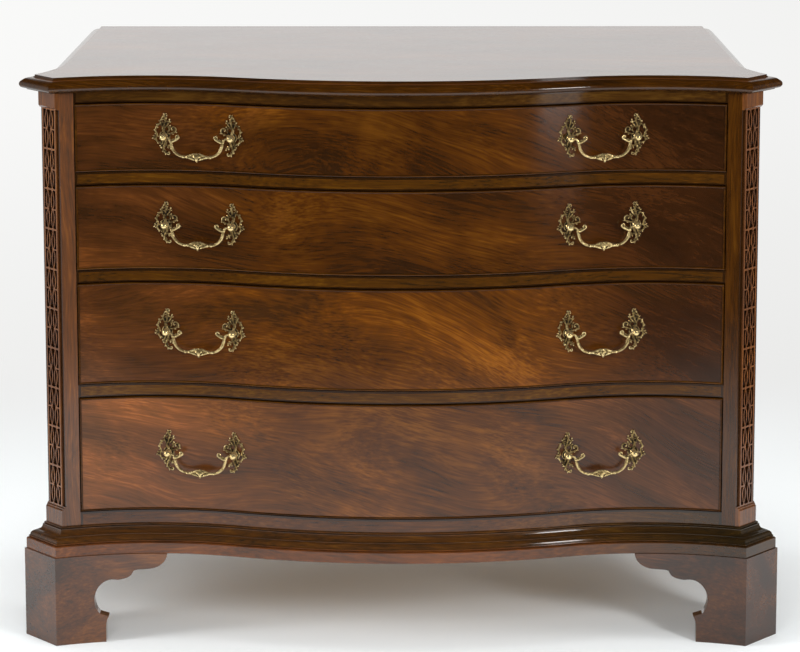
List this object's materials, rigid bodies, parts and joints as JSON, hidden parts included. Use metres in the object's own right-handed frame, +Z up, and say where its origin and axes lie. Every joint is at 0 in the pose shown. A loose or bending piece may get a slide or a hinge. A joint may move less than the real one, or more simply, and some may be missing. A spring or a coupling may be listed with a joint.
{
  "type": "serpentine chest of drawers",
  "caption": "Mahogany chest with a serpentine front, canted fretted corners, bracket feet and drawers that slide out on brass swan neck handles.",
  "frame": {"origin": "middle of the floor under the whole chest", "axes": "+X to the right seen from the front, -Y out of the drawer fronts, +Z up"},
  "size_m": [1.1518, 0.621, 0.868],
  "materials": {
    "mahogany": "french polished",
    "mahogany_top": "french polished",
    "mahogany_front": "french polished",
    "mahogany_dark": "french polished",
    "oak": "bare wood",
    "pine": "bare wood",
    "brass": "aged and rubbed"
  },
  "bodies": {
    "carcase": {"top_board": "mahogany_top", "side_left": "mahogany", "side_right": "mahogany", "back_boards": "pine", "bottom_board": "pine", "top_rail": "mahogany_dark", "divider_upper": "mahogany_dark", "divider_middle": "mahogany_dark", "divider_lower": "mahogany_dark", "bottom_rail": "mahogany_dark", "post_left": "mahogany", "post_right": "mahogany", "fret_left": "mahogany_dark", "fret_right": "mahogany_dark", "post_blocks": "mahogany", "base_moulding": "mahogany_dark", "foot_front_left": "mahogany", "foot_front_right": "mahogany", "feet_rear": "mahogany", "foot_blocks": "pine", "drawer_runners": "oak", "dust_boards": "pine", "drawer_stops": "oak"},
    "drawer_1": {"drawer_front_1": "mahogany_front", "drawer_sides_1": "oak", "drawer_back_1": "oak", "drawer_bottom_1": "pine", "cock_bead_1": "mahogany_dark", "handle_plates_1": "brass", "handle_posts_1": "brass"},
    "bail_left_1": {"bail_left_1": "brass"},
    "bail_right_1": {"bail_right_1": "brass"},
    "drawer_2": {"drawer_front_2": "mahogany_front", "drawer_sides_2": "oak", "drawer_back_2": "oak", "drawer_bottom_2": "pine", "cock_bead_2": "mahogany_dark", "handle_plates_2": "brass", "handle_posts_2": "brass"},
    "bail_left_2": {"bail_left_2": "brass"},
    "bail_right_2": {"bail_right_2": "brass"},
    "drawer_3": {"drawer_front_3": "mahogany_front", "drawer_sides_3": "oak", "drawer_back_3": "oak", "drawer_bottom_3": "pine", "cock_bead_3": "mahogany_dark", "handle_plates_3": "brass", "handle_posts_3": "brass"},
    "bail_left_3": {"bail_left_3": "brass"},
    "bail_right_3": {"bail_right_3": "brass"},
    "drawer_4": {"drawer_front_4": "mahogany_front", "drawer_sides_4": "oak", "drawer_back_4": "oak", "drawer_bottom_4": "pine", "cock_bead_4": "mahogany_dark", "handle_plates_4": "brass", "handle_posts_4": "brass"},
    "bail_left_4": {"bail_left_4": "brass"},
    "bail_right_4": {"bail_right_4": "brass"}
  },
  "joints": [
    {"name": "drawer_1_slide", "type": "slide", "parent": "carcase", "child": "drawer_1", "axis": [0, -1, 0], "range_m": [0, 0.4]},
    {"name": "bail_left_1_hinge", "type": "hinge", "parent": "drawer_1", "child": "bail_left_1", "pos_m": [-0.30426, -0.24705, 0.77635], "axis": [-0.9848, 0.1737, 0], "range_deg": [-8, 150]},
    {"name": "bail_right_1_hinge", "type": "hinge", "parent": "drawer_1", "child": "bail_right_1", "pos_m": [0.30426, -0.24705, 0.77635], "axis": [-0.9848, -0.1737, 0], "range_deg": [-8, 150]},
    {"name": "drawer_2_slide", "type": "slide", "parent": "carcase", "child": "drawer_2", "axis": [0, -1, 0], "range_m": [0, 0.4]},
    {"name": "bail_left_2_hinge", "type": "hinge", "parent": "drawer_2", "child": "bail_left_2", "pos_m": [-0.30426, -0.24705, 0.64215], "axis": [-0.9848, 0.1737, 0], "range_deg": [-8, 150]},
    {"name": "bail_right_2_hinge", "type": "hinge", "parent": "drawer_2", "child": "bail_right_2", "pos_m": [0.30426, -0.24705, 0.64215], "axis": [-0.9848, -0.1737, 0], "range_deg": [-8, 150]},
    {"name": "drawer_3_slide", "type": "slide", "parent": "carcase", "child": "drawer_3", "axis": [0, -1, 0], "range_m": [0, 0.4]},
    {"name": "bail_left_3_hinge", "type": "hinge", "parent": "drawer_3", "child": "bail_left_3", "pos_m": [-0.30426, -0.24705, 0.47845], "axis": [-0.9848, 0.1737, 0], "range_deg": [-8, 150]},
    {"name": "bail_right_3_hinge", "type": "hinge", "parent": "drawer_3", "child": "bail_right_3", "pos_m": [0.30426, -0.24705, 0.47845], "axis": [-0.9848, -0.1737, 0], "range_deg": [-8, 150]},
    {"name": "drawer_4_slide", "type": "slide", "parent": "carcase", "child": "drawer_4", "axis": [0, -1, 0], "range_m": [0, 0.4]},
    {"name": "bail_left_4_hinge", "type": "hinge", "parent": "drawer_4", "child": "bail_left_4", "pos_m": [-0.30426, -0.24705, 0.29025], "axis": [-0.9848, 0.1737, 0], "range_deg": [-8, 150]},
    {"name": "bail_right_4_hinge", "type": "hinge", "parent": "drawer_4", "child": "bail_right_4", "pos_m": [0.30426, -0.24705, 0.29025], "axis": [-0.9848, -0.1737, 0], "range_deg": [-8, 150]}
  ]
}
